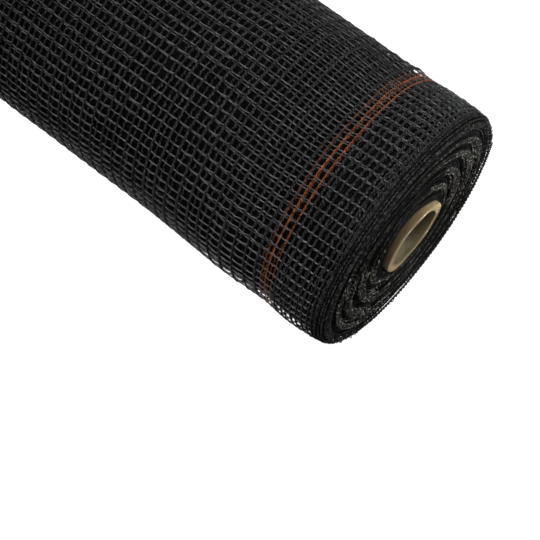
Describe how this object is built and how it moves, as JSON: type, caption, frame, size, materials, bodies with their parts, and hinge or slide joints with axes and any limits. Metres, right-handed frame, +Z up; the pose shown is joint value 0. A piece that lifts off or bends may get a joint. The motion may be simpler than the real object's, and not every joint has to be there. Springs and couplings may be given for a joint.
{
  "type": "roll of debris netting",
  "caption": "Black knitted mesh netting wound in a round roll on an open paperboard core, lying on its side, for covering scaffolds, loads or plants.",
  "frame": {"origin": "on the resting surface, under the middle of the roll's bounding box", "axes": "+X along the roll's axis, +Z up from the surface that the roll lies on"},
  "size_m": [1.005, 0.166, 0.1623],
  "materials": {
    "netting": "black knitted polyethylene strands, slightly shiny, with orange-brown chains near each edge",
    "paperboard": "plain matt brown paperboard, spiral wound"
  },
  "bodies": {
    "root": {"netting_roll": "netting", "core_tube": "paperboard"}
  },
  "joints": []
}
